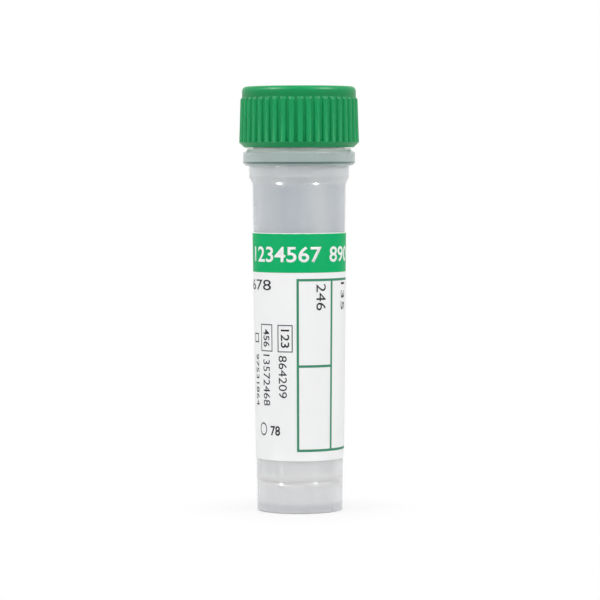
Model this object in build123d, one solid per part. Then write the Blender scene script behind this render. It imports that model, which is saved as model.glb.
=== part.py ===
from build123d import *
from math import asin, cos, degrees, pi, radians, sin, tan
import os

# A self-standing micro blood collection tube with a screw cap, in millimetres.
# +Z is up, the origin is the centre of the rim that it stands on, and -Y is its front.
# An angle round the tube is in degrees from the front towards +X.

# Tube: a slim cone that stands on a hollow skirt
BODY_HEIGHT = 35.2  # from the standing rim to the foot of the flare
BODY_RADIUS = 5.03  # outside, at the foot of the flare
BODY_DRAFT = 0.66  # degrees, how far the outside and the chamber lean out as they rise
CHAMBER_WALL = 0.88
SKIRT_WALL = 0.87
SKIRT_DEPTH = 3.1  # from the standing rim to the floor where it meets the skirt
FLOOR_THICKNESS = 0.85
FLOOR_DISH = 1.6  # how far the floor's centre hangs below its edge
RIM_ROUNDING = 0.2
GATE_RADIUS = 0.35
GATE_HEIGHT = 0.25

# Tube: the band and the collar under the cap
FLARE_HEIGHT = 0.8
FLARE_OUT = 0.37
FLARE_ROUNDING = 0.35
BAND_HEIGHT = 1.2
COLLAR_OUT = 0.65  # how far the collar stands out from the band
COLLAR_HEIGHT = 1.4
COLLAR_CHAMFER = 0.3
STEP_OUT = 0.67  # how far the step on top of the collar stands out from the neck
STEP_HEIGHT = 0.15

# Tube: the threaded neck
NECK_HEIGHT = 5.05
NECK_WALL = 0.7
LIP_ROUNDING = 0.2

# Thread, right-hand and single
THREAD_PITCH = 2.0
THREAD_DEPTH = 0.35
THREAD_FOOT = 0.9
THREAD_CREST = 0.4
THREAD_BURY = 0.15  # how far a ridge is let into the wall that carries it
THREAD_LEAD = 14.0  # degrees, over which each end of a ridge runs out
THREAD_END_SHARE = 0.1  # of a ridge's size left where it ends
THREAD_CLEARANCE = 0.1
TUBE_THREAD_TURNS = 1.35
TUBE_THREAD_START = 1.35  # from the step to the middle of the ridge's lower end
CAP_THREAD_TURNS = 1.25
SEAM_ANGLE = 233.0  # degrees from +X, clear of the threads' ends and of their quarter turns

# Cap
CAP_GAP = 0.1  # between the step and the cap's rim
CAP_WALL = 0.7
CAP_TOP = 0.8
CAP_TOP_ROUNDING = 0.5
CAP_RIM_CUT = 0.22  # how far the rim stands in from the grooves
CAP_RIM_CHAMFER = 0.55
BAND_OUT = 0.03  # how far the smooth top band stands out from the grooves
TOP_BAND_HEIGHT = 1.17
RIB_COUNT = 42
RIB_HEIGHT = 0.36
RIB_FOOT = 0.78  # a rib's width at its foot
RIB_CREST = 0.56  # and at its crest
RIB_LEAN = 1.7  # degrees, how far the crests lean in as they rise
RIB_END_CHAMFER = 0.22
RIB_TURN = 1.2  # degrees, where the front rib stands
PLUG_CLEARANCE = 0.15
PLUG_WALL = 0.7
PLUG_DEPTH = 2.0
PLUG_CHAMFER = 0.3

# Seal ring
SEAL_HEIGHT = 0.74
SEAL_WIDTH = 0.8
SEAL_CLEARANCE = 0.03
SEAL_ROUNDING = 0.25

# Label and its print
LABEL_BOTTOM = 5.68
LABEL_HEIGHT = 24.37
LABEL_THICKNESS = 0.06
LABEL_CLEARANCE = 0.01
LABEL_START = -133.0
LABEL_WRAP = 340.0
INK_THICKNESS = 0.02
INK_CLEARANCE = 0.01
HEADER_MARGIN = 0.07  # bare label above the header band
HEADER_HEIGHT = 4.16
LINE_WIDTH = 0.26
FORM_TOP_GAP = 0.65  # from the header band to the form's upper edge
FORM_BOTTOM_GAP = 1.0  # from the label's lower edge to the form's lower edge
FORM_START = -3.6
FORM_COLUMNS = 4
COLUMN_ANGLE = 45.8
DIVIDER_RISE = 9.02  # from the form's lower line to the line across its first column

# Heights and radii that follow
body_lean = tan(radians(BODY_DRAFT))
band_bottom = BODY_HEIGHT + FLARE_HEIGHT
collar_bottom = band_bottom + BAND_HEIGHT
collar_top = collar_bottom + COLLAR_HEIGHT
step_bottom = collar_top + COLLAR_CHAMFER
step_top = step_bottom + STEP_HEIGHT
lip = step_top + NECK_HEIGHT
ceiling = lip + SEAL_HEIGHT + 2 * SEAL_CLEARANCE
cap_top = ceiling + CAP_TOP
cap_rim = step_top + CAP_GAP


def body_outside(height):
    """Outside radius of the tube's cone at a height."""
    return BODY_RADIUS + (height - BODY_HEIGHT) * body_lean


mouth_radius = body_outside(lip) - CHAMBER_WALL
neck_radius = mouth_radius + NECK_WALL
band_radius = BODY_RADIUS + FLARE_OUT
collar_radius = band_radius + COLLAR_OUT
step_radius = neck_radius + STEP_OUT
cap_bore = neck_radius + THREAD_DEPTH + THREAD_CLEARANCE
groove_radius = cap_bore + CAP_WALL
rib_radius = groove_radius + RIB_HEIGHT
rib_top = cap_top - TOP_BAND_HEIGHT
plug_radius = mouth_radius - PLUG_CLEARANCE


def rounded(*corners):
    """Line through (radius, height, rounding) corners; its two ends stay sharp."""
    points = [(r, z) for r, z, _ in corners]
    return FilletPolyline(*points, radius=[rounding for _, _, rounding in corners[1:-1]])


def turned(*lines, arc=360.0):
    """Solid swept about Z by the closed outline that the lines make, radius across and height up."""
    outline = make_face([edge for line in lines for edge in line.edges()])
    return revolve(Plane.XZ * outline, Axis.Z, arc)


def seam_aside(solid):
    """The solid with the seam of its round faces where no thread starts, ends or has a seam of its own."""
    return Rot(0, 0, SEAM_ANGLE) * solid


def dish(edge_radius, edge_height, sag):
    """Arc from the axis, sag below edge_height, up to the edge, level at the axis."""
    curve_radius = (edge_radius**2 + sag**2) / (2 * sag)
    half = asin(edge_radius / curve_radius) / 2
    middle = (curve_radius * sin(half), edge_height - sag + curve_radius * (1 - cos(half)))
    return ThreePointArc((0, edge_height - sag), middle, (edge_radius, edge_height))


def ridge(wall_radius, start_height, turns, side):
    """Helical thread ridge on a wall. Side is 1 on an outside wall and -1 in a bore."""
    half_foot = THREAD_FOOT / 2
    half_crest = THREAD_CREST / 2
    path = Helix(THREAD_PITCH, turns * THREAD_PITCH, wall_radius, center=(0, 0, start_height))

    def section(angle, share):
        """The ridge's cross-section at an angle along it, with a share of its full size."""
        turn = radians(angle)
        centre = Vector(wall_radius * cos(turn), wall_radius * sin(turn), 0)
        rise = Vector(0, 0, start_height + THREAD_PITCH * angle / 360)
        along = Vector(-sin(turn), cos(turn), THREAD_PITCH / (2 * pi * wall_radius))
        points = [
            (-THREAD_BURY, -half_foot * share),
            (0, -half_foot * share),
            (THREAD_DEPTH * share, -half_crest * share),
            (THREAD_DEPTH * share, half_crest * share),
            (0, half_foot * share),
            (-THREAD_BURY, half_foot * share),
        ]
        place = Plane(origin=centre + rise, x_dir=centre.normalized() * side, z_dir=along)
        return place * make_face(Polyline(*points, close=True))

    def end(angle, run):
        """One end, running out into the wall."""
        return loft([section(angle, 1.0), section(angle + run, THREAD_END_SHARE)], ruled=True)

    last = 360 * turns
    whole = sweep(section(0, 1.0), path=path, is_frenet=True)
    return [whole, end(0, -THREAD_LEAD), end(last, THREAD_LEAD)]


def make_tube():
    """Chamber, standing skirt, band, collar and threaded neck, as one moulding."""
    floor_edge = SKIRT_DEPTH + FLOOR_THICKNESS
    chamber_radius = body_outside(floor_edge) - CHAMBER_WALL
    foot_radius = body_outside(0)
    skirt_radius = foot_radius - SKIRT_WALL
    outside = rounded(
        (chamber_radius, floor_edge, 0),
        (mouth_radius, lip, LIP_ROUNDING),
        (neck_radius, lip, LIP_ROUNDING),
        (neck_radius, step_top, 0),
        (step_radius, step_top, 0),
        (step_radius, step_bottom, 0),
        (collar_radius, collar_top, 0),
        (collar_radius, collar_bottom + COLLAR_CHAMFER, 0),
        (collar_radius - COLLAR_CHAMFER, collar_bottom, 0),
        (band_radius, collar_bottom, 0),
        (band_radius, band_bottom, FLARE_ROUNDING),
        (BODY_RADIUS, BODY_HEIGHT, FLARE_ROUNDING),
        (foot_radius, 0, RIM_ROUNDING),
        (skirt_radius, 0, RIM_ROUNDING),
        (skirt_radius, SKIRT_DEPTH, 0),
    )
    above = dish(chamber_radius, floor_edge, FLOOR_DISH)
    below = dish(skirt_radius, SKIRT_DEPTH, FLOOR_DISH)
    body = seam_aside(turned(above, outside, below, Line(below @ 0, above @ 0)))
    gate_bottom = SKIRT_DEPTH - FLOOR_DISH - GATE_HEIGHT
    up_from_base = (Align.CENTER, Align.CENTER, Align.MIN)
    gate = Pos(0, 0, gate_bottom) * Cylinder(GATE_RADIUS, FLOOR_THICKNESS, align=up_from_base)
    thread = ridge(neck_radius, step_top + TUBE_THREAD_START, TUBE_THREAD_TURNS, 1)
    return body + gate + thread


def make_grooves():
    """The space between the cap's ribs: a ring with a tooth in each groove, to be cut from the skirt."""
    pitch = 360 / RIB_COUNT
    ribs = []
    for index in range(RIB_COUNT):
        centre = radians(RIB_TURN - 90 + index * pitch)
        for radius, offset in (
            (groove_radius, -RIB_FOOT / 2),
            (rib_radius, -RIB_CREST / 2),
            (rib_radius, RIB_CREST / 2),
            (groove_radius, RIB_FOOT / 2),
        ):
            angle = centre + offset / radius
            ribs.append((radius * cos(angle), radius * sin(angle)))
    outside = Circle(rib_radius + RIB_HEIGHT)
    section = outside - make_face(Polyline(*ribs, close=True))
    start = cap_rim + CAP_RIM_CHAMFER
    return extrude(Pos(0, 0, start) * section, amount=rib_top - start)


def make_cap():
    """Ribbed skirt, smooth top band, inner thread and hollow plug, as one moulding."""
    plug_bottom = ceiling - PLUG_DEPTH
    band = groove_radius + BAND_OUT
    crest_start = cap_rim + CAP_RIM_CHAMFER
    crest_end_radius = rib_radius - (rib_top - crest_start) * tan(radians(RIB_LEAN))
    outline = rounded(
        (0, ceiling, 0),
        (plug_radius - PLUG_WALL, ceiling, 0),
        (plug_radius - PLUG_WALL, plug_bottom, 0),
        (plug_radius - PLUG_CHAMFER, plug_bottom, 0),
        (plug_radius, plug_bottom + PLUG_CHAMFER, 0),
        (plug_radius, ceiling, 0),
        (cap_bore, ceiling, 0),
        (cap_bore, cap_rim, 0),
        (groove_radius - CAP_RIM_CUT, cap_rim, 0),
        (rib_radius, crest_start, 0),
        (crest_end_radius, rib_top - RIB_END_CHAMFER, 0),
        (band, rib_top, 0),
        (band, cap_top, CAP_TOP_ROUNDING),
        (0, cap_top, 0),
    )
    body = seam_aside(turned(outline, Line(outline @ 1, outline @ 0)))
    drop = (THREAD_FOOT + THREAD_CREST) / 2 + THREAD_CLEARANCE
    thread = ridge(cap_bore, step_top + TUBE_THREAD_START - drop, CAP_THREAD_TURNS, -1)
    return body - make_grooves() + thread


def make_seal_ring():
    """Flat-sided ring round the plug, between the lip and the cap's ceiling."""
    inner = plug_radius + SEAL_CLEARANCE
    bottom = lip + SEAL_CLEARANCE
    middle = (inner + SEAL_WIDTH / 2, bottom + SEAL_HEIGHT / 2)
    section = Pos(*middle) * RectangleRounded(SEAL_WIDTH, SEAL_HEIGHT, SEAL_ROUNDING)
    return revolve(Plane.XZ * section, Axis.Z)


def wrap(bottom, top, start, arc, lift, thickness):
    """Patch of a layer on the tube's cone, lift off its surface, from a start angle through an arc."""
    inner_low = body_outside(bottom) + lift
    inner_high = body_outside(top) + lift
    corners = [
        (inner_low, bottom),
        (inner_low + thickness, bottom),
        (inner_high + thickness, top),
        (inner_high, top),
    ]
    return Rot(0, 0, start - 90) * turned(Polyline(*corners, close=True), arc=arc)


def make_label():
    """White wrap label, open at the back."""
    top = LABEL_BOTTOM + LABEL_HEIGHT
    return wrap(LABEL_BOTTOM, top, LABEL_START, LABEL_WRAP, LABEL_CLEARANCE, LABEL_THICKNESS)


def make_label_print():
    """Green ink: the header band, and the ruled form below it."""
    lift = LABEL_CLEARANCE + LABEL_THICKNESS + INK_CLEARANCE
    header_top = LABEL_BOTTOM + LABEL_HEIGHT - HEADER_MARGIN
    header_bottom = header_top - HEADER_HEIGHT
    form_top = header_bottom - FORM_TOP_GAP
    form_bottom = LABEL_BOTTOM + FORM_BOTTOM_GAP
    line_angle = degrees(LINE_WIDTH / BODY_RADIUS)

    def ink(bottom, top, start, arc):
        return wrap(bottom, top, start, arc, lift, INK_THICKNESS)

    def level_line(bottom, columns):
        """Line round the form from its first upright, across a number of columns."""
        return ink(bottom, bottom + LINE_WIDTH, FORM_START, columns * COLUMN_ANGLE + line_angle)

    header = ink(header_bottom, header_top, LABEL_START, LABEL_WRAP)
    form = level_line(form_bottom, FORM_COLUMNS)
    form += level_line(form_top - LINE_WIDTH, FORM_COLUMNS)
    form += level_line(form_bottom + DIVIDER_RISE, 1)
    for column in range(FORM_COLUMNS + 1):
        form += ink(form_bottom, form_top, FORM_START + column * COLUMN_ANGLE, line_angle)
    return Compound(header.solids() + form.solids())


def main():
    """Write each piece to its own STEP file."""
    nodes = {
        "tube": make_tube(),
        "screw_cap": make_cap(),
        "seal_ring": make_seal_ring(),
        "label": make_label(),
        "label_print": make_label_print(),
    }
    os.makedirs("parts", exist_ok=True)
    for name, shape in nodes.items():
        export_step(shape, f"parts/{name}.step")
    print("top of the cap at", round(cap_top, 3), "mm, widest radius", round(rib_radius, 3), "mm")


main()
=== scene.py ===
from math import asin, ceil, cos, degrees, hypot, pi, radians, sin, tan

import bmesh
import bpy
from mathutils import Matrix, Vector, noise


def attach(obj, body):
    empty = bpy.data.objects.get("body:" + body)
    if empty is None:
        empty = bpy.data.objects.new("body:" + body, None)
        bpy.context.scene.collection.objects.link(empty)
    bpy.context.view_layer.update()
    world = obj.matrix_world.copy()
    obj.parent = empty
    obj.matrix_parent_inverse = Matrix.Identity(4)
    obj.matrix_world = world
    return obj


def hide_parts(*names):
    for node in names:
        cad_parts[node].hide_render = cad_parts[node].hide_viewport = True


# Looks of a small blood collection tube, built round its CAD frame. Sizes are in millimetres until a
# mesh is made. An angle round the tube is in degrees from the front, which is -Y, towards +X.
MM = 0.001

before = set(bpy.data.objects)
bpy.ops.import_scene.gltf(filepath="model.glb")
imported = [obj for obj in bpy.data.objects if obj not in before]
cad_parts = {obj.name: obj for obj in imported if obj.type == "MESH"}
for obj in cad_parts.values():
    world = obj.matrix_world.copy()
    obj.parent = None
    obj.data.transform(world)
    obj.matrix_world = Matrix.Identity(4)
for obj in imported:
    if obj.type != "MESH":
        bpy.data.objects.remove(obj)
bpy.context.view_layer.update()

# Tube
BODY_HEIGHT = 35.2
BODY_RADIUS = 5.03
BODY_DRAFT = 0.66  # degrees
CHAMBER_WALL = 0.88
SKIRT_WALL = 0.87
SKIRT_DEPTH = 3.1
FLOOR_THICKNESS = 0.85
FLOOR_DISH = 1.6
FLOOR_FILLET = 0.35
RIM_ROUNDING = 0.2
SEAM_HEIGHT = 3.33  # faint groove left by the joint of the mould
SEAM_DEPTH = 0.02
SEAM_REACH = 0.2
GATE_RADIUS = 0.35
GATE_HEIGHT = 0.25
GATE_ROUNDING = 0.08
GATE_MARGIN = 1.5  # gate radii round the gate that hold no row of the floor
FLARE_HEIGHT = 0.8
FLARE_OUT = 0.37
FLARE_EDGE_ROUNDING = 0.03
FLARE_FOOT_ROUNDING = 1.1
BAND_HEIGHT = 1.2
COLLAR_OUT = 0.65
COLLAR_HEIGHT = 1.4
COLLAR_CHAMFER = 0.3
COLLAR_ROUNDING = 0.07
STEP_OUT = 0.67
STEP_HEIGHT = 0.15
STEP_ROUNDING = 0.06
NECK_HEIGHT = 5.05
NECK_WALL = 0.7
LIP_ROUNDING = 0.2

# Thread
THREAD_PITCH = 2.0
THREAD_DEPTH = 0.35
THREAD_FOOT = 0.9
THREAD_CREST = 0.4
THREAD_LEAD = 14.0  # degrees over which each end of a thread runs out
THREAD_CLEARANCE = 0.1
TUBE_THREAD_TURNS = 1.35
TUBE_THREAD_START = 1.35
CAP_THREAD_TURNS = 1.25
THREAD_ROW = 0.07  # height between the rows that carry a ridge

# Cap
CAP_GAP = 0.1
CAP_WALL = 0.7
CAP_TOP = 0.8
CAP_TOP_ROUNDING = 0.5
CAP_RIM_CUT = 0.22
CAP_RIM_CHAMFER = 0.55
CAP_RIM_ROUNDING = 0.08
CAP_INNER_ROUNDING = 0.1
TOP_BAND_OUT = 0.03  # from the grooves between the ribs
TOP_BAND_HEIGHT = 1.17
TOP_BAND_ROUNDING = 0.05
RIB_COUNT = 42
RIB_HEIGHT = 0.36
RIB_LEAN = 1.7  # degrees
RIB_END_CHAMFER = 0.22
RIB_END_ROUNDING = 0.16
RIB_TURN = 1.2  # degrees from the front to a rib's crest
RIB_HALF_WIDTH = 0.37  # share of the pitch
RIB_FULLNESS = 2.0  # power of the curve over a rib, 2 for an ellipse
RIB_ROW = 0.5  # height between the rows on the ribs
RIB_ROW_MARGIN = 0.1
GROOVE_FADE = 0.15  # height over which a groove runs out into the top band
# Places of the columns over one rib and its groove, as shares of the pitch
RIB_SAMPLES = (0, 0.1, 0.19, 0.26, 0.31, 0.345, 0.366, 0.42, 0.5, 0.58, 0.634, 0.655, 0.69, 0.74, 0.81, 0.9)
INNER_SHARE = 4  # outside columns for each inside one
PLUG_CLEARANCE = 0.15
PLUG_WALL = 0.7
PLUG_DEPTH = 2.0
PLUG_CHAMFER = 0.3

# Seal ring
SEAL_HEIGHT = 0.74
SEAL_WIDTH = 0.8
SEAL_CLEARANCE = 0.03
SEAL_ROUNDING = 0.25

# Label and its print
LABEL_BOTTOM = 5.68
LABEL_HEIGHT = 24.37
LABEL_THICKNESS = 0.06
LABEL_CLEARANCE = 0.01
LABEL_START = -133.0  # degrees, as are the other starts and arcs of the label
LABEL_WRAP = 340.0
INK_THICKNESS = 0.008
INK_CLEARANCE = 0.004
HEADER_MARGIN = 0.07
HEADER_HEIGHT = 4.16
HEADER_WAVER = 0.018  # unevenness of the header band's upper edge
HEADER_WAVE = 7.0  # degrees round the tube to each unevenness
LINE_WIDTH = 0.26
FORM_TOP_GAP = 0.65
FORM_BOTTOM_GAP = 1.0
FORM_START = -3.6
FORM_COLUMNS = 4
COLUMN_ANGLE = 45.8
DIVIDER_RISE = 9.02
HEADER_DIGITS_BOTTOM = 21.24
HEADER_DIGITS_HEIGHT = 1.68
HEADER_DIGITS_WEIGHT = 0.014
RING_SHARES = (0.5, 0.4)  # outer and inner radius of the ring mark, as shares of its width
RING_SEGMENTS = 40

# Meshes
COLUMNS = 240
ARC_STEP = 15.0  # degrees turned by each piece of a rounded corner
DISH_STEPS = 14
RUN_GUARD = 0.03  # distance of the row that keeps a flat run flat next to a rounding
SHARP_ANGLE = 38.0  # degrees above which an edge is shaded sharp
CUT_STEP = 0.2  # width of the strips that let print follow the tube
NEAR = 1e-3  # difference below which two measures count as one
ON_AXIS = 1e-6  # radius below which a ring is a point

body_lean = tan(radians(BODY_DRAFT))
band_bottom = BODY_HEIGHT + FLARE_HEIGHT
collar_bottom = band_bottom + BAND_HEIGHT
collar_top = collar_bottom + COLLAR_HEIGHT
step_bottom = collar_top + COLLAR_CHAMFER
step_top = step_bottom + STEP_HEIGHT
lip = step_top + NECK_HEIGHT
ceiling = lip + SEAL_HEIGHT + 2 * SEAL_CLEARANCE
cap_top = ceiling + CAP_TOP
cap_rim = step_top + CAP_GAP
floor_edge = SKIRT_DEPTH + FLOOR_THICKNESS


def body_outside(height):
    """Outside radius of the tube's cone at a height."""
    return BODY_RADIUS + (height - BODY_HEIGHT) * body_lean


mouth_radius = body_outside(lip) - CHAMBER_WALL
neck_radius = mouth_radius + NECK_WALL
band_radius = BODY_RADIUS + FLARE_OUT
collar_radius = band_radius + COLLAR_OUT
step_radius = neck_radius + STEP_OUT
cap_bore = neck_radius + THREAD_DEPTH + THREAD_CLEARANCE
groove_radius = cap_bore + CAP_WALL
rib_radius = groove_radius + RIB_HEIGHT
rib_top = cap_top - TOP_BAND_HEIGHT
plug_radius = mouth_radius - PLUG_CLEARANCE


# ---------------------------------------------------------------- outlines


def corner_arc(before, corner, after, radius):
    """Points of the rounding at a corner, from one run to the next."""
    into = (before - corner).normalized()
    out = (after - corner).normalized()
    half = into.angle(out) / 2
    if radius <= 0 or pi / 2 - half < radians(1):
        return [corner]
    reach = min(radius / tan(half), 0.49 * (before - corner).length, 0.49 * (after - corner).length)
    radius = reach * tan(half)
    centre = corner + (into + out).normalized() * (radius / sin(half))
    start = corner + into * reach - centre
    turn = start.angle_signed(corner + out * reach - centre)
    steps = max(2, ceil(degrees(abs(turn)) / ARC_STEP))
    return [centre + Matrix.Rotation(-turn * i / steps, 2) @ start for i in range(steps + 1)]


def outline(*corners, closed=False):
    """Points through (radius, height, rounding) corners, each rounded off, with guard rows on the runs."""
    spots = [Vector((r, z)) for r, z, _ in corners]
    count = len(corners)
    rounds = []
    for index, (_, _, rounding) in enumerate(corners):
        if not closed and index in (0, count - 1):
            rounds.append([spots[index]])
            continue
        rounds.append(corner_arc(spots[index - 1], spots[index], spots[(index + 1) % count], rounding))
    points = []
    for index, run in enumerate(rounds):
        points += run
        if not closed and index == count - 1:
            break
        following = rounds[(index + 1) % count][0]
        gap = following - run[-1]
        if gap.length > 4 * RUN_GUARD:
            guard = gap.normalized() * RUN_GUARD
            points += [run[-1] + guard, following - guard]
    return [(p.x, p.y) for p in points]


def dish(edge_radius, edge_height, sag):
    """Points of an arc from the axis up to an edge, without the edge itself."""
    curve = (edge_radius**2 + sag**2) / (2 * sag)
    half = asin(edge_radius / curve)
    bottom = edge_height - sag
    turns = [half * i / DISH_STEPS for i in range(DISH_STEPS)]
    return [(curve * sin(t), bottom + curve * (1 - cos(t))) for t in turns]


def filled(points, low, high, step):
    """The outline with more rows between two heights, so that it can carry a ridge."""
    dense = [points[0]]
    for (r0, z0), (r1, z1) in zip(points, points[1:]):
        inside = low <= min(z0, z1) and max(z0, z1) <= high
        pieces = max(1, ceil(hypot(r1 - r0, z1 - z0) / step)) if inside and abs(z1 - z0) > step else 1
        dense += [(r0 + (r1 - r0) * i / pieces, z0 + (z1 - z0) * i / pieces) for i in range(1, pieces + 1)]
    return dense


def smooth(share):
    """Soft step from 0 to 1."""
    share = min(max(share, 0), 1)
    return share * share * (3 - 2 * share)


def ridge_height(angle, height, start, turns):
    """How far a thread stands off its wall, at an angle counted anticlockwise from +X."""
    highest = 0
    turn = angle % 360 - 360
    while turn <= 360 * turns + THREAD_LEAD:
        beyond = max(-turn, turn - 360 * turns, 0)
        share = 1 - beyond / THREAD_LEAD
        if share > 0:
            off = abs(height - start - THREAD_PITCH * turn / 360)
            slope = (THREAD_FOOT / 2 * share - off) / ((THREAD_FOOT - THREAD_CREST) / 2)
            highest = max(highest, THREAD_DEPTH * share * smooth(slope))
        turn += 360
    return highest


# ---------------------------------------------------------------- meshes


def even_angles(count):
    """Angles anticlockwise from +X, evenly spaced."""
    return [360 * i / count for i in range(count)]


def ring(angles, radius, height):
    """Points of one level ring. The radius may be a function of the angle."""
    places = []
    for angle in angles:
        r = radius(angle) if callable(radius) else radius
        places.append((r * cos(radians(angle)), r * sin(radians(angle)), height))
    return places


def join_rings(first, second):
    """Faces between two rings of vertex numbers, where one count divides the other."""
    if len(first) == 1 or len(second) == 1:
        pole, rim = (first[0], second) if len(first) == 1 else (second[0], first)
        return [(pole, rim[i], rim[(i + 1) % len(rim)]) for i in range(len(rim))]
    if len(first) < len(second):
        first, second = second, first
    ratio = len(first) // len(second)
    faces = []
    for i in range(len(second)):
        j = (i + 1) % len(second)
        fine = [first[(i * ratio + k) % len(first)] for k in range(ratio + 1)]
        if ratio == 1:
            faces.append((fine[0], fine[1], second[j], second[i]))
            continue
        middle = ratio // 2
        faces += [(fine[k], fine[k + 1], second[i]) for k in range(middle)]
        faces.append((fine[middle], second[j], second[i]))
        faces += [(fine[k], fine[k + 1], second[j]) for k in range(middle, ratio)]
    return faces


def new_piece(name, points, faces):
    """Object from points in millimetres, smooth, with its normals outwards."""
    mesh = bpy.data.meshes.new(name)
    mesh.from_pydata([(x * MM, y * MM, z * MM) for x, y, z in points], [], faces)
    work = bmesh.new()
    work.from_mesh(mesh)
    bmesh.ops.recalc_face_normals(work, faces=work.faces)
    work.to_mesh(mesh)
    work.free()
    mesh.shade_smooth()
    mesh.set_sharp_from_angle(angle=radians(SHARP_ANGLE))
    piece = bpy.data.objects.new(name, mesh)
    bpy.context.scene.collection.objects.link(piece)
    return piece


def skin(name, rings, closed=False):
    """Piece through rings of points, each joined to the next."""
    points = []
    numbers = []
    for places in rings:
        numbers.append(range(len(points), len(points) + len(places)))
        points += places
    faces = []
    pairs = list(zip(numbers, numbers[1:])) + ([(numbers[-1], numbers[0])] if closed else [])
    for first, second in pairs:
        faces += join_rings(first, second)
    return new_piece(name, points, faces)


def turned_rings(points, angles, shift=None):
    """Rings of an outline swept round. shift(angle, height) adds to the radius."""
    rings = []
    for r, z in points:
        if r < ON_AXIS:
            rings.append([(0, 0, z)])
        elif shift:
            rings.append(ring(angles, lambda angle: r + shift(angle, z), z))
        else:
            rings.append(ring(angles, r, z))
    return rings


def threaded_rings(points, angles, wall, span, thread):
    """Rings of an outline, with a thread on the rows that lie on a wall within a span of heights."""
    rings = []
    for r, z in points:
        on_wall = abs(r - wall) < NEAR and span[0] <= z <= span[1]
        rings += turned_rings([(r, z)], angles, thread if on_wall else None)
    return rings


# ---------------------------------------------------------------- tube


foot_radius = body_outside(0)
skirt_radius = foot_radius - SKIRT_WALL
chamber_radius = body_outside(floor_edge) - CHAMBER_WALL


def tube_inside():
    """Outline from the middle of the chamber's floor, up over the lip and down the neck."""
    floor = dish(chamber_radius, floor_edge, FLOOR_DISH)
    walls = outline(
        floor[-1] + (0,),
        (chamber_radius, floor_edge, FLOOR_FILLET),
        (mouth_radius, lip, LIP_ROUNDING),
        (neck_radius, lip, LIP_ROUNDING),
        (neck_radius, step_top, 0),
    )
    return floor[:-1] + walls


def tube_outside():
    """Outline from the foot of the neck, down to the rim and up to the edge of the floor's underside."""
    return outline(
        (neck_radius, step_top, 0),
        (step_radius, step_top, STEP_ROUNDING),
        (step_radius, step_bottom, STEP_ROUNDING),
        (collar_radius, collar_top, COLLAR_ROUNDING),
        (collar_radius, collar_bottom + COLLAR_CHAMFER, COLLAR_ROUNDING),
        (collar_radius - COLLAR_CHAMFER, collar_bottom, COLLAR_ROUNDING),
        (band_radius, collar_bottom, COLLAR_ROUNDING),
        (band_radius, band_bottom, FLARE_EDGE_ROUNDING),
        (BODY_RADIUS, BODY_HEIGHT, FLARE_FOOT_ROUNDING),
        (body_outside(SEAM_HEIGHT + SEAM_REACH), SEAM_HEIGHT + SEAM_REACH, SEAM_REACH),
        (body_outside(SEAM_HEIGHT) - SEAM_DEPTH, SEAM_HEIGHT, SEAM_REACH),
        (body_outside(SEAM_HEIGHT - SEAM_REACH), SEAM_HEIGHT - SEAM_REACH, SEAM_REACH),
        (foot_radius, 0, RIM_ROUNDING),
        (skirt_radius, 0, RIM_ROUNDING),
        (skirt_radius, SKIRT_DEPTH, FLOOR_FILLET),
        dish(skirt_radius, SKIRT_DEPTH, FLOOR_DISH)[-1] + (0,),
    )


def tube_underside():
    """Outline of the floor's underside, from its edge in to the gate mark in its middle."""
    floor = dish(skirt_radius, SKIRT_DEPTH, FLOOR_DISH)[::-1]
    gate_foot = SKIRT_DEPTH - FLOOR_DISH
    gate_end = gate_foot - GATE_HEIGHT
    gate = outline(
        (GATE_RADIUS, gate_foot, 0),
        (GATE_RADIUS, gate_end, GATE_ROUNDING),
        (0, gate_end, 0),
    )
    return [p for p in floor if p[0] > GATE_RADIUS * GATE_MARGIN] + gate


def make_tube():
    """The moulded tube: chamber, skirt, band, collar and threaded neck."""
    thread_end = lip - LIP_ROUNDING
    profile = tube_inside()[:-1] + tube_outside()[:-1] + tube_underside()
    profile = filled(profile, step_top, thread_end, THREAD_ROW)

    def thread(angle, height):
        return ridge_height(angle, height, step_top + TUBE_THREAD_START, TUBE_THREAD_TURNS)

    span = (step_top - NEAR, thread_end + NEAR)
    rings = threaded_rings(profile, even_angles(COLUMNS), neck_radius, span, thread)
    return skin("tube_moulding", rings)


# ---------------------------------------------------------------- cap


def rib_shape(share):
    """Height of a rib, from 0 in the groove to 1 on its crest, at a share of the pitch."""
    off = min(share % 1, 1 - share % 1) / RIB_HALF_WIDTH
    return (1 - off**RIB_FULLNESS) ** (1 / RIB_FULLNESS) if off < 1 else 0


rim_radius = groove_radius - CAP_RIM_CUT
rim_middle = (cap_bore + rim_radius) / 2
top_band_radius = groove_radius + TOP_BAND_OUT
crest_start = cap_rim + CAP_RIM_CHAMFER
crest_end = rib_top - RIB_END_CHAMFER


def cap_inside():
    """Outline from the middle of the ceiling, round the plug and down the bore to the rim."""
    hollow = plug_radius - PLUG_WALL
    plug_bottom = ceiling - PLUG_DEPTH
    return outline(
        (0, ceiling, 0),
        (hollow, ceiling, CAP_INNER_ROUNDING),
        (hollow, plug_bottom, CAP_INNER_ROUNDING),
        (plug_radius - PLUG_CHAMFER, plug_bottom, CAP_INNER_ROUNDING),
        (plug_radius, plug_bottom + PLUG_CHAMFER, CAP_INNER_ROUNDING),
        (plug_radius, ceiling, CAP_INNER_ROUNDING),
        (cap_bore, ceiling, CAP_INNER_ROUNDING),
        (cap_bore, cap_rim, CAP_INNER_ROUNDING),
        (rim_middle, cap_rim, 0),
    )


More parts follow.
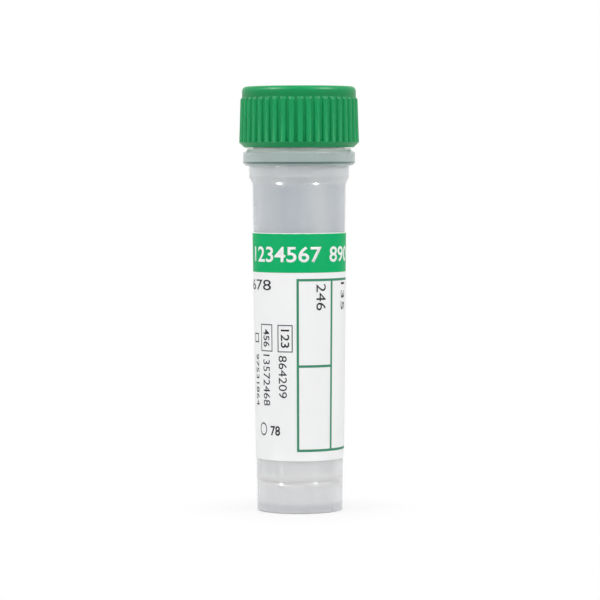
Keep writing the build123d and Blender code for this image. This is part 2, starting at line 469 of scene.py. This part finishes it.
def cap_inside_rings(angles):
    """Rings of the ceiling, the plug and the threaded bore."""
    span = (cap_rim + CAP_INNER_ROUNDING, ceiling - CAP_INNER_ROUNDING)
    drop = (THREAD_FOOT + THREAD_CREST) / 2 + THREAD_CLEARANCE
    start = step_top + TUBE_THREAD_START - drop

    def thread(angle, height):
        return -ridge_height(angle, height, start, CAP_THREAD_TURNS)

    return threaded_rings(filled(cap_inside(), *span, THREAD_ROW), angles, cap_bore, span, thread)


def cap_outside():
    """Outline from the rim, up over a rib's crest and the top band to the middle of the top."""
    end_radius = rib_radius - (rib_top - crest_start) * tan(radians(RIB_LEAN))
    crest = outline(
        (rim_middle, cap_rim, 0),
        (rim_radius, cap_rim, CAP_RIM_ROUNDING),
        (rib_radius, crest_start, CAP_RIM_ROUNDING),
        (end_radius, crest_end, RIB_END_ROUNDING),
        (top_band_radius, rib_top, TOP_BAND_ROUNDING),
        (top_band_radius, cap_top, CAP_TOP_ROUNDING),
        (0, cap_top, 0),
    )[1:]
    return filled(crest, crest_start + RIB_ROW_MARGIN, crest_end - RIB_ROW_MARGIN, RIB_ROW)


def cap_outside_rings(shares, angles):
    """Rings of the rim, the ribs with their grooves, the top band and the top."""
    groove_end = crest_start + CAP_RIM_ROUNDING / 2
    rings = []
    for r, z in cap_outside():
        if z > rib_top + NEAR or z < groove_end:
            rings += turned_rings([(r, z)], angles)
            continue
        root = groove_radius + TOP_BAND_OUT * smooth((z - rib_top + GROOVE_FADE) / GROOVE_FADE)
        places = []
        for share, angle in zip(shares, angles):
            radius = root + (r - root) * rib_shape(share)
            places.append((radius * cos(radians(angle)), radius * sin(radians(angle)), z))
        rings.append(places)
    return rings


def make_cap():
    """The moulded cap: ribbed skirt, smooth band and top, inner thread and sealing plug."""
    shares = [k + s for k in range(RIB_COUNT) for s in RIB_SAMPLES]
    angles = [RIB_TURN - 90 + share * (360 / RIB_COUNT) for share in shares]
    rings = cap_inside_rings(angles[::INNER_SHARE]) + cap_outside_rings(shares, angles)
    return skin("cap_moulding", rings)


# ---------------------------------------------------------------- seal ring, label and print


def make_seal():
    """The ring under the cap's ceiling."""
    inner = plug_radius + SEAL_CLEARANCE
    low = lip + SEAL_CLEARANCE
    points = outline(
        (inner, low, SEAL_ROUNDING),
        (inner + SEAL_WIDTH, low, SEAL_ROUNDING),
        (inner + SEAL_WIDTH, low + SEAL_HEIGHT, SEAL_ROUNDING),
        (inner, low + SEAL_HEIGHT, SEAL_ROUNDING),
        closed=True,
    )
    return skin("seal_moulding", turned_rings(points, even_angles(COLUMNS)), closed=True)


def layer(name, bottom, top, start, arc, lift, thickness, waver=None):
    """Thin closed patch on the tube's cone. waver(angle) adds to its upper edge."""
    steps = max(1, ceil(arc * COLUMNS / 360))
    over = lift + thickness
    points = []
    faces = []
    for i in range(steps + 1):
        angle = start + arc * i / steps
        high = top + (waver(angle) if waver else 0)
        turn = radians(angle - 90)
        for height, out in ((bottom, lift), (bottom, over), (high, over), (high, lift)):
            r = body_outside(height) + out
            points.append((r * cos(turn), r * sin(turn), height))
    for i in range(steps):
        a, b = 4 * i, 4 * i + 4
        faces += [(a + k, a + (k + 1) % 4, b + (k + 1) % 4, b + k) for k in range(4)]
    faces += [(0, 1, 2, 3), tuple(4 * steps + k for k in range(4))]
    return new_piece(name, points, faces)


paper_top = LABEL_BOTTOM + LABEL_HEIGHT
ink_lift = LABEL_CLEARANCE + LABEL_THICKNESS + INK_CLEARANCE
over_ink = ink_lift + INK_THICKNESS + INK_CLEARANCE
header_top = paper_top - HEADER_MARGIN
header_bottom = header_top - HEADER_HEIGHT
form_top = header_bottom - FORM_TOP_GAP
form_bottom = LABEL_BOTTOM + FORM_BOTTOM_GAP


def ink_layer(name, bottom, top, start, arc, waver=None):
    """Thin closed patch of ink on the label."""
    return layer(name, bottom, top, start, arc, ink_lift, INK_THICKNESS, waver)


def make_header():
    """The green band across the top of the label."""

    def waver(angle):
        return HEADER_WAVER * (noise.noise(Vector((angle / HEADER_WAVE, 0, 0))) - 1)

    return ink_layer("header_ink", header_bottom, header_top, LABEL_START, LABEL_WRAP, waver)


def make_form():
    """The ruled form: three level lines, and the uprights between the outer two."""
    line_angle = degrees(LINE_WIDTH / BODY_RADIUS)
    width = FORM_COLUMNS * COLUMN_ANGLE + line_angle
    low = form_bottom + LINE_WIDTH
    high = form_top - LINE_WIDTH
    divider = form_bottom + DIVIDER_RISE
    inner = FORM_START + line_angle
    pieces = [
        ink_layer("form_low", form_bottom, low, FORM_START, width),
        ink_layer("form_high", high, form_top, FORM_START, width),
        ink_layer("form_divider", divider, divider + LINE_WIDTH, inner, COLUMN_ANGLE - line_angle),
    ]
    for column in range(FORM_COLUMNS + 1):
        start = FORM_START + column * COLUMN_ANGLE
        pieces.append(ink_layer(f"form_upright_{column}", low, high, start, line_angle))
    return pieces


# ---------------------------------------------------------------- small print


def flat_text(text, weight):
    """Flat mesh of a line of digits, with its corners at 0 and 1 both ways."""
    curve = bpy.data.curves.new("digits", "FONT")
    curve.body = text
    curve.offset = weight
    curve.resolution_u = 4
    holder = bpy.data.objects.new("digits", curve)
    bpy.context.scene.collection.objects.link(holder)
    bpy.context.view_layer.update()
    mesh = bpy.data.meshes.new_from_object(holder)
    bpy.data.objects.remove(holder)
    work = bmesh.new()
    work.from_mesh(mesh)
    bmesh.ops.remove_doubles(work, verts=work.verts, dist=1e-5)
    low = [min(v.co[k] for v in work.verts) for k in (0, 1)]
    high = [max(v.co[k] for v in work.verts) for k in (0, 1)]
    for v in work.verts:
        v.co = Vector(((v.co.x - low[0]) / (high[0] - low[0]), (v.co.y - low[1]) / (high[1] - low[1]), 0))
    return work


def put_in_order(work):
    """Sort a mesh's corners and faces by where they lie, because cutting leaves them in no set order."""
    for rank, v in enumerate(sorted(work.verts, key=lambda v: v.co[:])):
        v.index = rank
    work.verts.sort()
    for rank, face in enumerate(sorted(work.faces, key=lambda f: sorted(v.index for v in f.verts))):
        face.index = rank
    work.faces.sort()


def print_on_tube(name, work, place, upright, lift):
    """The flat mesh laid on the label, between two angles and two heights above the label's lower edge.

    Upright print runs round the tube; other print runs down it, with its tops to the right."""
    (start, end), (bottom, top) = place
    for v in work.verts:
        x, y = (v.co.x, v.co.y) if upright else (v.co.y, 1 - v.co.x)
        v.co = Vector((start + (end - start) * x, LABEL_BOTTOM + bottom + (top - bottom) * y, 0))
    strip = degrees(CUT_STEP / BODY_RADIUS)
    for k in range(1, int((end - start) / strip) + 1):
        geometry = work.verts[:] + work.edges[:] + work.faces[:]
        bmesh.ops.bisect_plane(work, geom=geometry, plane_co=(start + k * strip, 0, 0), plane_no=(1, 0, 0))
    bmesh.ops.triangulate(work, faces=work.faces)
    body = bmesh.ops.extrude_face_region(work, geom=work.faces[:])["geom"]
    raised = {g for g in body if isinstance(g, bmesh.types.BMVert)}
    for v in work.verts:
        turn = radians(v.co.x - 90)
        r = body_outside(v.co.y) + lift + (INK_THICKNESS if v in raised else 0)
        v.co = Vector((r * cos(turn), r * sin(turn), v.co.y)) * MM
    bmesh.ops.recalc_face_normals(work, faces=work.faces)
    put_in_order(work)
    mesh = bpy.data.meshes.new(name)
    work.to_mesh(mesh)
    work.free()
    piece = bpy.data.objects.new(name, mesh)
    bpy.context.scene.collection.objects.link(piece)
    return piece


def digits(name, text, start, end, bottom, top, upright=False, weight=0.0, lift=ink_lift):
    """A run of plain digits between two angles and two heights above the label's lower edge."""
    return print_on_tube(name, flat_text(text, weight), ((start, end), (bottom, top)), upright, lift)


def frame_box(name, start, end, bottom, top, width):
    """An outlined box on the label, its line as wide as given."""
    side = degrees(width / BODY_RADIUS)
    bottom += LABEL_BOTTOM
    top += LABEL_BOTTOM
    spans = (
        (bottom, bottom + width, start, end),
        (top - width, top, start, end),
        (bottom + width, top - width, start, start + side),
        (bottom + width, top - width, end - side, end),
    )
    return [ink_layer(f"{name}_{k}", low, high, a, b - a) for k, (low, high, a, b) in enumerate(spans)]


def make_dark_print():
    """Dark plain digits, boxes and a ring, where such a label has its particulars."""
    pieces = [
        digits("volume_digits", "5678", -98, -37.5, 18.23, 19.36, upright=True),
        digits("cell_digits_1", "246", 21.3, 34.4, 16.11, 18.93),
        digits("cell_digits_2", "135", 63.3, 74, 16.07, 19.03),
        digits("row_digits_1", "864209", -27.2, -16.3, 6.74, 11.28),
        digits("row_digits_2", "13572468", -52.4, -40.8, 5.86, 11.34),
        digits("row_digits_3", "97531864", -71.5, -62.8, 5.78, 11.33),
        digits("box_digits_1", "123", -24.0, -12.9, 12.13, 14.08, weight=0.01),
        digits("box_digits_2", "456", -51.6, -40.9, 12.18, 14.08, weight=0.01),
        digits("small_digits", "78", -40.5, -26, 2.68, 3.73, upright=True, weight=0.02),
    ]
    pieces += frame_box("box_1", -28.4, -8.6, 11.65, 14.57, 0.1)
    pieces += frame_box("box_2", -56.2, -36.3, 11.69, 14.61, 0.1)
    pieces += frame_box("box_3", -74.5, -62.5, 12.58, 13.58, 0.12)
    pieces.append(make_ring_mark())
    return pieces


def make_ring_mark():
    """A small plain ring near the label's foot."""
    work = bmesh.new()
    circles = [bmesh.ops.create_circle(work, segments=RING_SEGMENTS, radius=share) for share in RING_SHARES]
    outer, inner = (circle["verts"] for circle in circles)
    for v in work.verts:
        v.co += Vector((0.5, 0.5, 0))
    for k in range(RING_SEGMENTS):
        n = (k + 1) % RING_SEGMENTS
        work.faces.new((outer[k], outer[n], inner[n], inner[k]))
    return print_on_tube("ring_mark", work, ((-60.5, -46.8), (2.63, 4.03)), True, ink_lift)


def make_header_digits():
    """White plain digits on the header band."""
    heights = (HEADER_DIGITS_BOTTOM, HEADER_DIGITS_BOTTOM + HEADER_DIGITS_HEIGHT)
    looks = {"upright": True, "weight": HEADER_DIGITS_WEIGHT, "lift": over_ink}
    return [
        digits("header_digits_1", "1234567", -70.7, 28, *heights, **looks),
        digits("header_digits_2", "8901234", 39.8, 139, *heights, **looks),
    ]


# ---------------------------------------------------------------- materials


def new_material(name):
    """Material with a lone Principled shader, its node tree and that shader."""
    material = bpy.data.materials.new(name)
    material.use_nodes = True
    tree = material.node_tree
    return material, tree, tree.nodes["Principled BSDF"]


def add(tree, kind, **inputs):
    """Node of a kind with its sockets set; a socket given as another socket is linked."""
    node = tree.nodes.new(kind)
    for name, value in inputs.items():
        socket = node.inputs[name.replace("_", " ")]
        if isinstance(value, bpy.types.NodeSocket):
            tree.links.new(value, socket)
        else:
            socket.default_value = value
    return node


def place_of(tree):
    """The point on the piece in millimetres, which noise is read from."""
    coordinates = add(tree, "ShaderNodeTexCoord")
    scaled = tree.nodes.new("ShaderNodeVectorMath")
    scaled.operation = "SCALE"
    tree.links.new(coordinates.outputs["Object"], scaled.inputs[0])
    scaled.inputs["Scale"].default_value = 1 / MM
    return scaled.outputs["Vector"]


def stretched(tree, place, x, y, z):
    """The place stretched along its axes."""
    node = tree.nodes.new("ShaderNodeVectorMath")
    node.operation = "MULTIPLY"
    tree.links.new(place, node.inputs[0])
    node.inputs[1].default_value = (x, y, z)
    return node.outputs["Vector"]


def grain(tree, place, scale, detail=3.0, roughness=0.5):
    """Noise from 0 to 1 at a scale per millimetre."""
    node = add(tree, "ShaderNodeTexNoise", Vector=place, Scale=scale, Detail=detail, Roughness=roughness)
    return node.outputs["Fac"]


def ranged(tree, value, low, high, start=0.25, end=0.75):
    """A value between start and end, spread from low to high."""
    ends = {"From_Min": start, "From_Max": end, "To_Min": low, "To_Max": high}
    return add(tree, "ShaderNodeMapRange", Value=value, **ends).outputs["Result"]


def maths(tree, operation, *values):
    """Result of a sum on numbers and other nodes' sockets."""
    node = tree.nodes.new("ShaderNodeMath")
    node.operation = operation
    for socket, value in zip(node.inputs, values):
        if isinstance(value, bpy.types.NodeSocket):
            tree.links.new(value, socket)
        else:
            socket.default_value = value
    return node.outputs[0]


def blended(tree, share, first, second):
    """Colour between a first one, which may be another node's, and a second."""
    node = tree.nodes.new("ShaderNodeMix")
    node.data_type = "RGBA"
    tree.links.new(share, node.inputs["Factor"])
    start, end, blend = node.inputs[6], node.inputs[7], node.outputs[2]
    if isinstance(first, bpy.types.NodeSocket):
        tree.links.new(first, start)
    else:
        start.default_value = (*first, 1)
    end.default_value = (*second, 1)
    return blend


def bumped(tree, shader, height, strength, distance):
    """Surface relief from a height, distance in millimetres."""
    node = add(tree, "ShaderNodeBump", Height=height, Strength=strength, Distance=distance * MM)
    tree.links.new(node.outputs["Normal"], shader.inputs["Normal"])


def near_height(tree, place, height, reach, fade):
    """1 within reach of a height, falling to 0 over the fade beyond it."""
    parts = add(tree, "ShaderNodeSeparateXYZ", Vector=place)
    off = maths(tree, "ABSOLUTE", maths(tree, "SUBTRACT", parts.outputs["Z"], height))
    return ranged(tree, off, 1, 0, start=reach, end=reach + fade)


RELIEF = 0.01  # depth of the plastics' surface grain

CLOUD_AND_PAINTED_LIGHT_SHIFT = (21.0, 17.0, 0.0)  # picks which part of the noise falls on the tube, placed so that its darker and paler clouds are also painted shade and light
CLOUD_SCALE = 0.3
CLOUD_STRETCH = 0.15  # clouds are drawn out along the tube
FROST_GRAIN = 1.6
FROST_ROUGHNESS = (0.17, 0.19)
FOOT_SMOOTHING = -0.1  # added to the roughness near the foot
FOOT_REACH = 5  # height of the smoother foot, which painted light also makes paler
FOOT_FADE = 4
# Darker and paler milk of the clouds: random unevenness, partly painted shade and light by where the clouds
# fall
FROST_DARK = (0.52, 0.57, 0.62)
FROST_LIGHT = (0.82, 0.83, 0.84)
# Painted light: the lower tube paler towards the foot, as if lit by the white floor
FOOT_PAINTED_LIGHT = (0.885, 0.89, 0.90)
# Painted shade: a darker band just above the rim, where the shaded floor inside the skirt shows through the
# wall
RIM_PAINTED_SHADE = (0.76, 0.77, 0.795)
# Painted light: the collar's top chamfer and the step made pale where the cap shades them
STEP_PAINTED_LIGHT = (0.97, 0.98, 0.98)
# Painted light: the band and its flare made paler where the collar shades them
BAND_PAINTED_LIGHT = (0.77, 0.785, 0.80)
# Painted light: a white band where the chamber's floor meets the wall, over the shade the thick floor shows
# there
FLOOR_SLAB_PAINTED_LIGHT = (1.0, 1.0, 1.0)
# Painted light: a green cast on the collar, from the green cap above it
COLLAR_PAINTED_GREEN_CAST = (0.54, 0.635, 0.615)
# Painted shade: a dark greenish line along the collar's lower chamfer, which faces down
COLLAR_EDGE_PAINTED_SHADE = (0.10, 0.22, 0.20)
# Colours of painted light and shade laid over each other in turn: the height each is at, how far it reaches
# up and down, and its fade
PAINTED_LIGHT_BANDS = (
    (0, FOOT_REACH, 22, FOOT_PAINTED_LIGHT),
    (0.6, 0.2, 0.4, RIM_PAINTED_SHADE),
    (floor_edge - 0.4, 0.4, 0.3, FLOOR_SLAB_PAINTED_LIGHT),
    (band_bottom + 0.3, 0.9, 0.5, BAND_PAINTED_LIGHT),
    ((collar_bottom + collar_top) / 2, COLLAR_HEIGHT / 2 - 0.1, 0.3, COLLAR_PAINTED_GREEN_CAST),
    (collar_bottom + COLLAR_CHAMFER, 0.07, 0.08, COLLAR_EDGE_PAINTED_SHADE),
    (step_bottom + 0.05, 0.28, 0.06, STEP_PAINTED_LIGHT),
)


def frosted_plastic():
    """Natural polypropylene: milky, clearer where it is thick, under a smooth moulded skin, with bands of
    painted light and shade in its colour.
    """
    material, tree, shader = new_material("frosted_polypropylene")
    place = place_of(tree)
    drift = tree.nodes.new("ShaderNodeVectorMath")
    tree.links.new(place, drift.inputs[0])
    drift.inputs[1].default_value = CLOUD_AND_PAINTED_LIGHT_SHIFT
    drawn_out = stretched(tree, drift.outputs["Vector"], 1, 1, CLOUD_STRETCH)
    cloud = grain(tree, drawn_out, CLOUD_SCALE, detail=2.0)
    skin_grain = grain(tree, place, FROST_GRAIN, detail=2.0)
    colour = blended(tree, cloud, FROST_DARK, FROST_LIGHT)
    # Lay the bands of painted light and shade over the clouds
    for height, reach, fade, painted_colour in PAINTED_LIGHT_BANDS:
        colour = blended(tree, near_height(tree, place, height, reach, fade), colour, painted_colour)
    tree.links.new(colour, shader.inputs["Base Color"])
    foot = near_height(tree, place, 0, FOOT_REACH, FOOT_FADE)
    haze = maths(tree, "MULTIPLY_ADD", foot, FOOT_SMOOTHING, ranged(tree, cloud, *FROST_ROUGHNESS))
    tree.links.new(haze, shader.inputs["Roughness"])
    shader.inputs["Transmission Weight"].default_value = 0.5
    shader.inputs["IOR"].default_value = 1.49
    shader.inputs["Coat Weight"].default_value = 0.25
    shader.inputs["Coat Roughness"].default_value = 0.12
    bumped(tree, shader, skin_grain, strength=0.15, distance=RELIEF)
    return material


GREEN_DEEP = (0.001, 0.26, 0.075)
GREEN_LIGHT = (0.003, 0.296, 0.091)
# Painted shade: the smooth band under the top a deeper green than the ribs
PAINTED_BAND_SHADE = (0.001, 0.215, 0.06)
GREEN_BAND_DROP = 0.95  # how far the band's painted shade lies below the top
GREEN_CLOUD = 0.5
GREEN_GRAIN = 5.0
GREEN_ROUGHNESS = (0.36, 0.44)


def green_plastic():
    """Pigmented polypropylene: satin, with the soft unevenness of a moulding, and painted shade on the
    smooth band under the top.
    """
    material, tree, shader = new_material("green_polypropylene")
    place = place_of(tree)
    cloud = grain(tree, place, GREEN_CLOUD)
    fine = grain(tree, place, GREEN_GRAIN)
    colour = blended(tree, cloud, GREEN_DEEP, GREEN_LIGHT)
    # Painted shade on the smooth band below the top
    band = near_height(tree, place, cap_top - GREEN_BAND_DROP, reach=0.1, fade=0.5)
    tree.links.new(blended(tree, band, colour, PAINTED_BAND_SHADE), shader.inputs["Base Color"])
    tree.links.new(ranged(tree, fine, *GREEN_ROUGHNESS), shader.inputs["Roughness"])
    shader.inputs["Specular IOR Level"].default_value = 0.2
    bumped(tree, shader, fine, strength=0.15, distance=RELIEF)
    return material


PAPER_DIM = (0.855, 0.86, 0.865)
PAPER_WHITE = (0.895, 0.895, 0.90)
PAPER_ROUGHNESS = (0.42, 0.56)
PAPER_RELIEF = 0.004
FIBRE_SCALE = 5.0
FIBRE_SQUASH = 3  # the grain is this much finer up the label than along it
INK_ROUGHNESS = (0.38, 0.5)
# Thin and full colour of each ink
GREEN_INK = ((0.002, 0.40, 0.13), (0.004, 0.43, 0.145))
LINE_INK = ((0.055, 0.28, 0.17), (0.045, 0.24, 0.135))
DARK_INK = ((0.04, 0.04, 0.045), (0.02, 0.02, 0.025))
WHITE_INK = ((0.82, 0.83, 0.84), (0.87, 0.87, 0.88))


def paper_fibre(tree):
    """Fine grain of the label's paper, which its ink shows too."""
    squashed = stretched(tree, place_of(tree), 1, 1, FIBRE_SQUASH)
    return grain(tree, squashed, FIBRE_SCALE, detail=5.0, roughness=0.65)


def label_paper():
    """Coated white label paper with a faint fibre grain."""
    material, tree, shader = new_material("label_paper")
    fibre = paper_fibre(tree)
    tree.links.new(blended(tree, fibre, PAPER_DIM, PAPER_WHITE), shader.inputs["Base Color"])
    tree.links.new(ranged(tree, fibre, *PAPER_ROUGHNESS), shader.inputs["Roughness"])
    shader.inputs["Specular IOR Level"].default_value = 0.2
    bumped(tree, shader, fibre, strength=0.1, distance=PAPER_RELIEF)
    return material


def ink(name, thin, full):
    """Printing ink that lets the paper's grain through, between its thin and its full colour."""
    material, tree, shader = new_material(name)
    fibre = paper_fibre(tree)
    tree.links.new(blended(tree, fibre, thin, full), shader.inputs["Base Color"])
    tree.links.new(ranged(tree, fibre, *INK_ROUGHNESS), shader.inputs["Roughness"])
    shader.inputs["Specular IOR Level"].default_value = 0.06
    bumped(tree, shader, fibre, strength=0.1, distance=PAPER_RELIEF)
    return material


RUBBER_BLACK = (0.022, 0.022, 0.024)
RUBBER_DUST = (0.04, 0.04, 0.042)
RUBBER_GRAIN = 4.0
RUBBER_ROUGHNESS = (0.6, 0.8)
RUBBER_RELIEF = 0.02


def black_rubber():
    """Seal rubber with a dusty matte skin."""
    material, tree, shader = new_material("seal_rubber")
    dust = grain(tree, place_of(tree), RUBBER_GRAIN, detail=5.0)
    tree.links.new(blended(tree, dust, RUBBER_BLACK, RUBBER_DUST), shader.inputs["Base Color"])
    tree.links.new(ranged(tree, dust, *RUBBER_ROUGHNESS), shader.inputs["Roughness"])
    bumped(tree, shader, dust, strength=0.4, distance=RUBBER_RELIEF)
    return material


# ---------------------------------------------------------------- stage


def seen_rays(tree):
    """1 for camera, glossy and transmitted rays, 0 for the rays that light the object."""
    path = tree.nodes.new("ShaderNodeLightPath").outputs
    seen = maths(tree, "MAXIMUM", path["Is Camera Ray"], path["Is Glossy Ray"])
    return maths(tree, "MAXIMUM", seen, path["Is Transmission Ray"])


AMBIENT = 0.54  # strength of the world where it lights the object
FLOOR_RADIUS = 2500.0
UNDER_EDGE = 4.3  # distance from the axis to which the floor lies under the tube alone
RIM_EDGE = 4.7
# Distance from the axis, and the share of the backdrop's white mixed in there
FLOOR_STAGES = ((0, 0.0), (UNDER_EDGE, 0.0), (RIM_EDGE, 0.8), (14.0, 1.0))
FLOOR_GREY = 0.62
UNDER_TUBE_PAINTED_SHADOW = 0.1  # painted shadow: the floor under the tube a dark grey


def make_world():
    """White where it is seen, and a plain grey as light on the object."""
    world = bpy.data.worlds.new("backdrop")
    bpy.context.scene.world = world
    world.use_nodes = True
    tree = world.node_tree
    background = tree.nodes["Background"]
    strength = ranged(tree, seen_rays(tree), AMBIENT, 1, start=0, end=1)
    tree.links.new(strength, background.inputs["Strength"])
    background.inputs["Color"].default_value = (1, 1, 1, 1)


def backdrop_share(tree, reach):
    """How much of the backdrop's white shows at a distance from the axis."""
    farthest = FLOOR_STAGES[-1][0]
    away = ranged(tree, reach, 0, 1, start=0, end=farthest * MM)
    ramp = add(tree, "ShaderNodeValToRGB", Fac=away)
    stops = ramp.color_ramp.elements
    while len(stops) < len(FLOOR_STAGES):
        stops.new(0.5)
    for stop, (distance, white) in zip(stops, FLOOR_STAGES):
        stop.position = distance / farthest
        stop.color = (white, white, white, 1)
    return maths(tree, "MULTIPLY", ramp.outputs["Color"], seen_rays(tree))


def white_table():
    """Grey where the tube stands, with a painted shadow of darker grey under it, turning to the backdrop's
    white further out.
    """
    material, tree, shader = new_material("white_table")
    shader.inputs["Roughness"].default_value = 0.45
    shader.inputs["Specular IOR Level"].default_value = 0.15
    coordinates = add(tree, "ShaderNodeTexCoord")
    reach = tree.nodes.new("ShaderNodeVectorMath")
    reach.operation = "LENGTH"
    tree.links.new(coordinates.outputs["Object"], reach.inputs[0])
    distance = reach.outputs["Value"]
    # Painted shadow: darker grey under the tube
    grey = ranged(tree, distance, UNDER_TUBE_PAINTED_SHADOW, FLOOR_GREY, start=UNDER_EDGE * MM, end=RIM_EDGE * MM)
    tree.links.new(grey, shader.inputs["Base Color"])
    white = add(tree, "ShaderNodeEmission", Color=(1, 1, 1, 1), Strength=1.0)
    mix = tree.nodes.new("ShaderNodeMixShader")
    tree.links.new(backdrop_share(tree, distance), mix.inputs[0])
    tree.links.new(shader.outputs[0], mix.inputs[1])
    tree.links.new(white.outputs[0], mix.inputs[2])
    tree.links.new(mix.outputs[0], tree.nodes["Material Output"].inputs["Surface"])
    return material


def make_floor():
    """A table that keeps the shadow close to the tube and runs out into the backdrop."""
    mesh = bpy.data.meshes.new("floor")
    work = bmesh.new()
    bmesh.ops.create_circle(work, cap_ends=True, segments=96, radius=FLOOR_RADIUS * MM)
    work.to_mesh(mesh)
    work.free()
    piece = bpy.data.objects.new("floor", mesh)
    bpy.context.scene.collection.objects.link(piece)
    piece.data.materials.append(white_table())


LAMP_SIDE = 62.0  # degrees from the front, to either side
LAMP_RISE = 42.0  # degrees, as every rise
TOP_LAMP_RISE = 68.0
LAMP_DISTANCE = 500.0
LAMP_SIZE = 120.0
LAMP_AIM = 25.0
LAMP_POWER = 0.9
GLOSS_POWER = 2.5
TOP_LAMP_POWER = 0.7
SPARK_DISTANCE = 58.0
FLARE_SIDES = (-51.3, 44.2)
FLARE_AIM = 35.3
FLARE_SPARK = {"rise": -30.0, "width": 2.6, "length": 10.0, "power": 0.0005, "spread": 16.0}
SEAM_SIDES = (-51.3, 43.0)
SEAM_SPARK = {"rise": 0.0, "width": 3.0, "length": 6.0, "power": 0.00008, "spread": 3.0}


def around(side, rise, distance):
    """Way from the axis to a spot at an angle to the side and an angle up."""
    turn = radians(side - 90)
    lift = radians(rise)
    return Vector((cos(lift) * cos(turn), cos(lift) * sin(turn), sin(lift))) * distance


def make_lamp(name, way, aim, width, length, power):
    """Rectangular lamp, its way counted from the point that it is aimed at."""
    light = bpy.data.lights.new(name, "AREA")
    light.shape = "RECTANGLE"
    light.size = width * MM
    light.size_y = length * MM
    light.energy = power
    lamp = bpy.data.objects.new(name, light)
    lamp.location = (aim + way) * MM
    lamp.rotation_euler = way.to_track_quat("Z", "Y").to_euler()
    bpy.context.scene.collection.objects.link(lamp)
    return lamp


def keep_to_gloss(lamp):
    """Let a lamp show as a highlight and light nothing."""
    lamp.visible_camera = False
    lamp.visible_diffuse = False
    lamp.visible_transmission = False


def make_spark(side, aim, rise, width, length, power, spread):
    """Very small lamp that shows as one bright spot."""
    spark = make_lamp("spark", around(side, rise, SPARK_DISTANCE), aim, width, length, power)
    spark.data.spread = radians(spread)
    keep_to_gloss(spark)


def make_lamps():
    """A soft lamp to either side and one above, and small ones whose reflections are the highlights."""
    middle = Vector((0, 0, LAMP_AIM))
    for side in (-LAMP_SIDE, LAMP_SIDE):
        way = around(side, LAMP_RISE, LAMP_DISTANCE)
        make_lamp("side_lamp", way, middle, LAMP_SIZE, LAMP_SIZE, LAMP_POWER)
        keep_to_gloss(make_lamp("gloss_lamp", way, middle, LAMP_SIZE, LAMP_SIZE, GLOSS_POWER))
    above = around(0, TOP_LAMP_RISE, LAMP_DISTANCE)
    top_lamp = make_lamp("top_lamp", above, middle, LAMP_SIZE, LAMP_SIZE, TOP_LAMP_POWER)
    top_lamp.visible_glossy = False
    for side in FLARE_SIDES:
        make_spark(side, Vector((0, 0, FLARE_AIM)), **FLARE_SPARK)
    for side in SEAM_SIDES:
        wall = around(side / 2, 0, body_outside(SEAM_HEIGHT)) + Vector((0, 0, SEAM_HEIGHT))
        make_spark(side, wall, **SEAM_SPARK)


CAMERA_SPOT = (0.06, -313.0, 38.0)
CAMERA_PITCH = 2.8  # degrees, as the roll
CAMERA_ROLL = -0.145
CAMERA_LENS = 174.0


def make_camera():
    """Camera straight in front, a little above the middle and looking slightly down."""
    camera = bpy.data.cameras.new("camera")
    camera.lens = CAMERA_LENS
    camera.sensor_width = 36.0
    camera.clip_start = 0.01
    holder = bpy.data.objects.new("camera", camera)
    holder.location = Vector(CAMERA_SPOT) * MM
    pitch = Matrix.Rotation(radians(90 - CAMERA_PITCH), 4, "X")
    roll = Matrix.Rotation(radians(CAMERA_ROLL), 4, "Z")
    holder.rotation_euler = (pitch @ roll).to_euler()
    bpy.context.scene.collection.objects.link(holder)
    bpy.context.scene.camera = holder


# ---------------------------------------------------------------- scene


def dress(pieces, material, body, slot, *nodes):
    """Give pieces a material and a body to ride on, and hide the CAD nodes that they stand for. The slot is
    not used.
    """
    for piece in pieces:
        piece.data.materials.clear()
        piece.data.materials.append(material)
        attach(piece, body)
    for node in nodes:
        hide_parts(node)


dress([make_tube()], frosted_plastic(), "tube_body", "translucent_tube", "tube")
dress([make_cap()], green_plastic(), "cap", "green_cap", "screw_cap")
dress([make_seal()], black_rubber(), "seal", "seal_rubber", "seal_ring")
label = layer(
    "label_sheet", LABEL_BOTTOM, paper_top, LABEL_START, LABEL_WRAP, LABEL_CLEARANCE, LABEL_THICKNESS
)
dress([label], label_paper(), "tube_body", "label_paper", "label")
dress([make_header()], ink("green_ink", *GREEN_INK), "tube_body", "green_ink", "label_print")
dress(make_form(), ink("line_ink", *LINE_INK), "tube_body", "green_ink")
dress(make_dark_print(), ink("dark_ink", *DARK_INK), "tube_body", "label_paper")
dress(make_header_digits(), ink("white_ink", *WHITE_INK), "tube_body", "label_paper")

make_world()
make_floor()
make_lamps()
make_camera()
bpy.context.scene.view_settings.view_transform = "Standard"
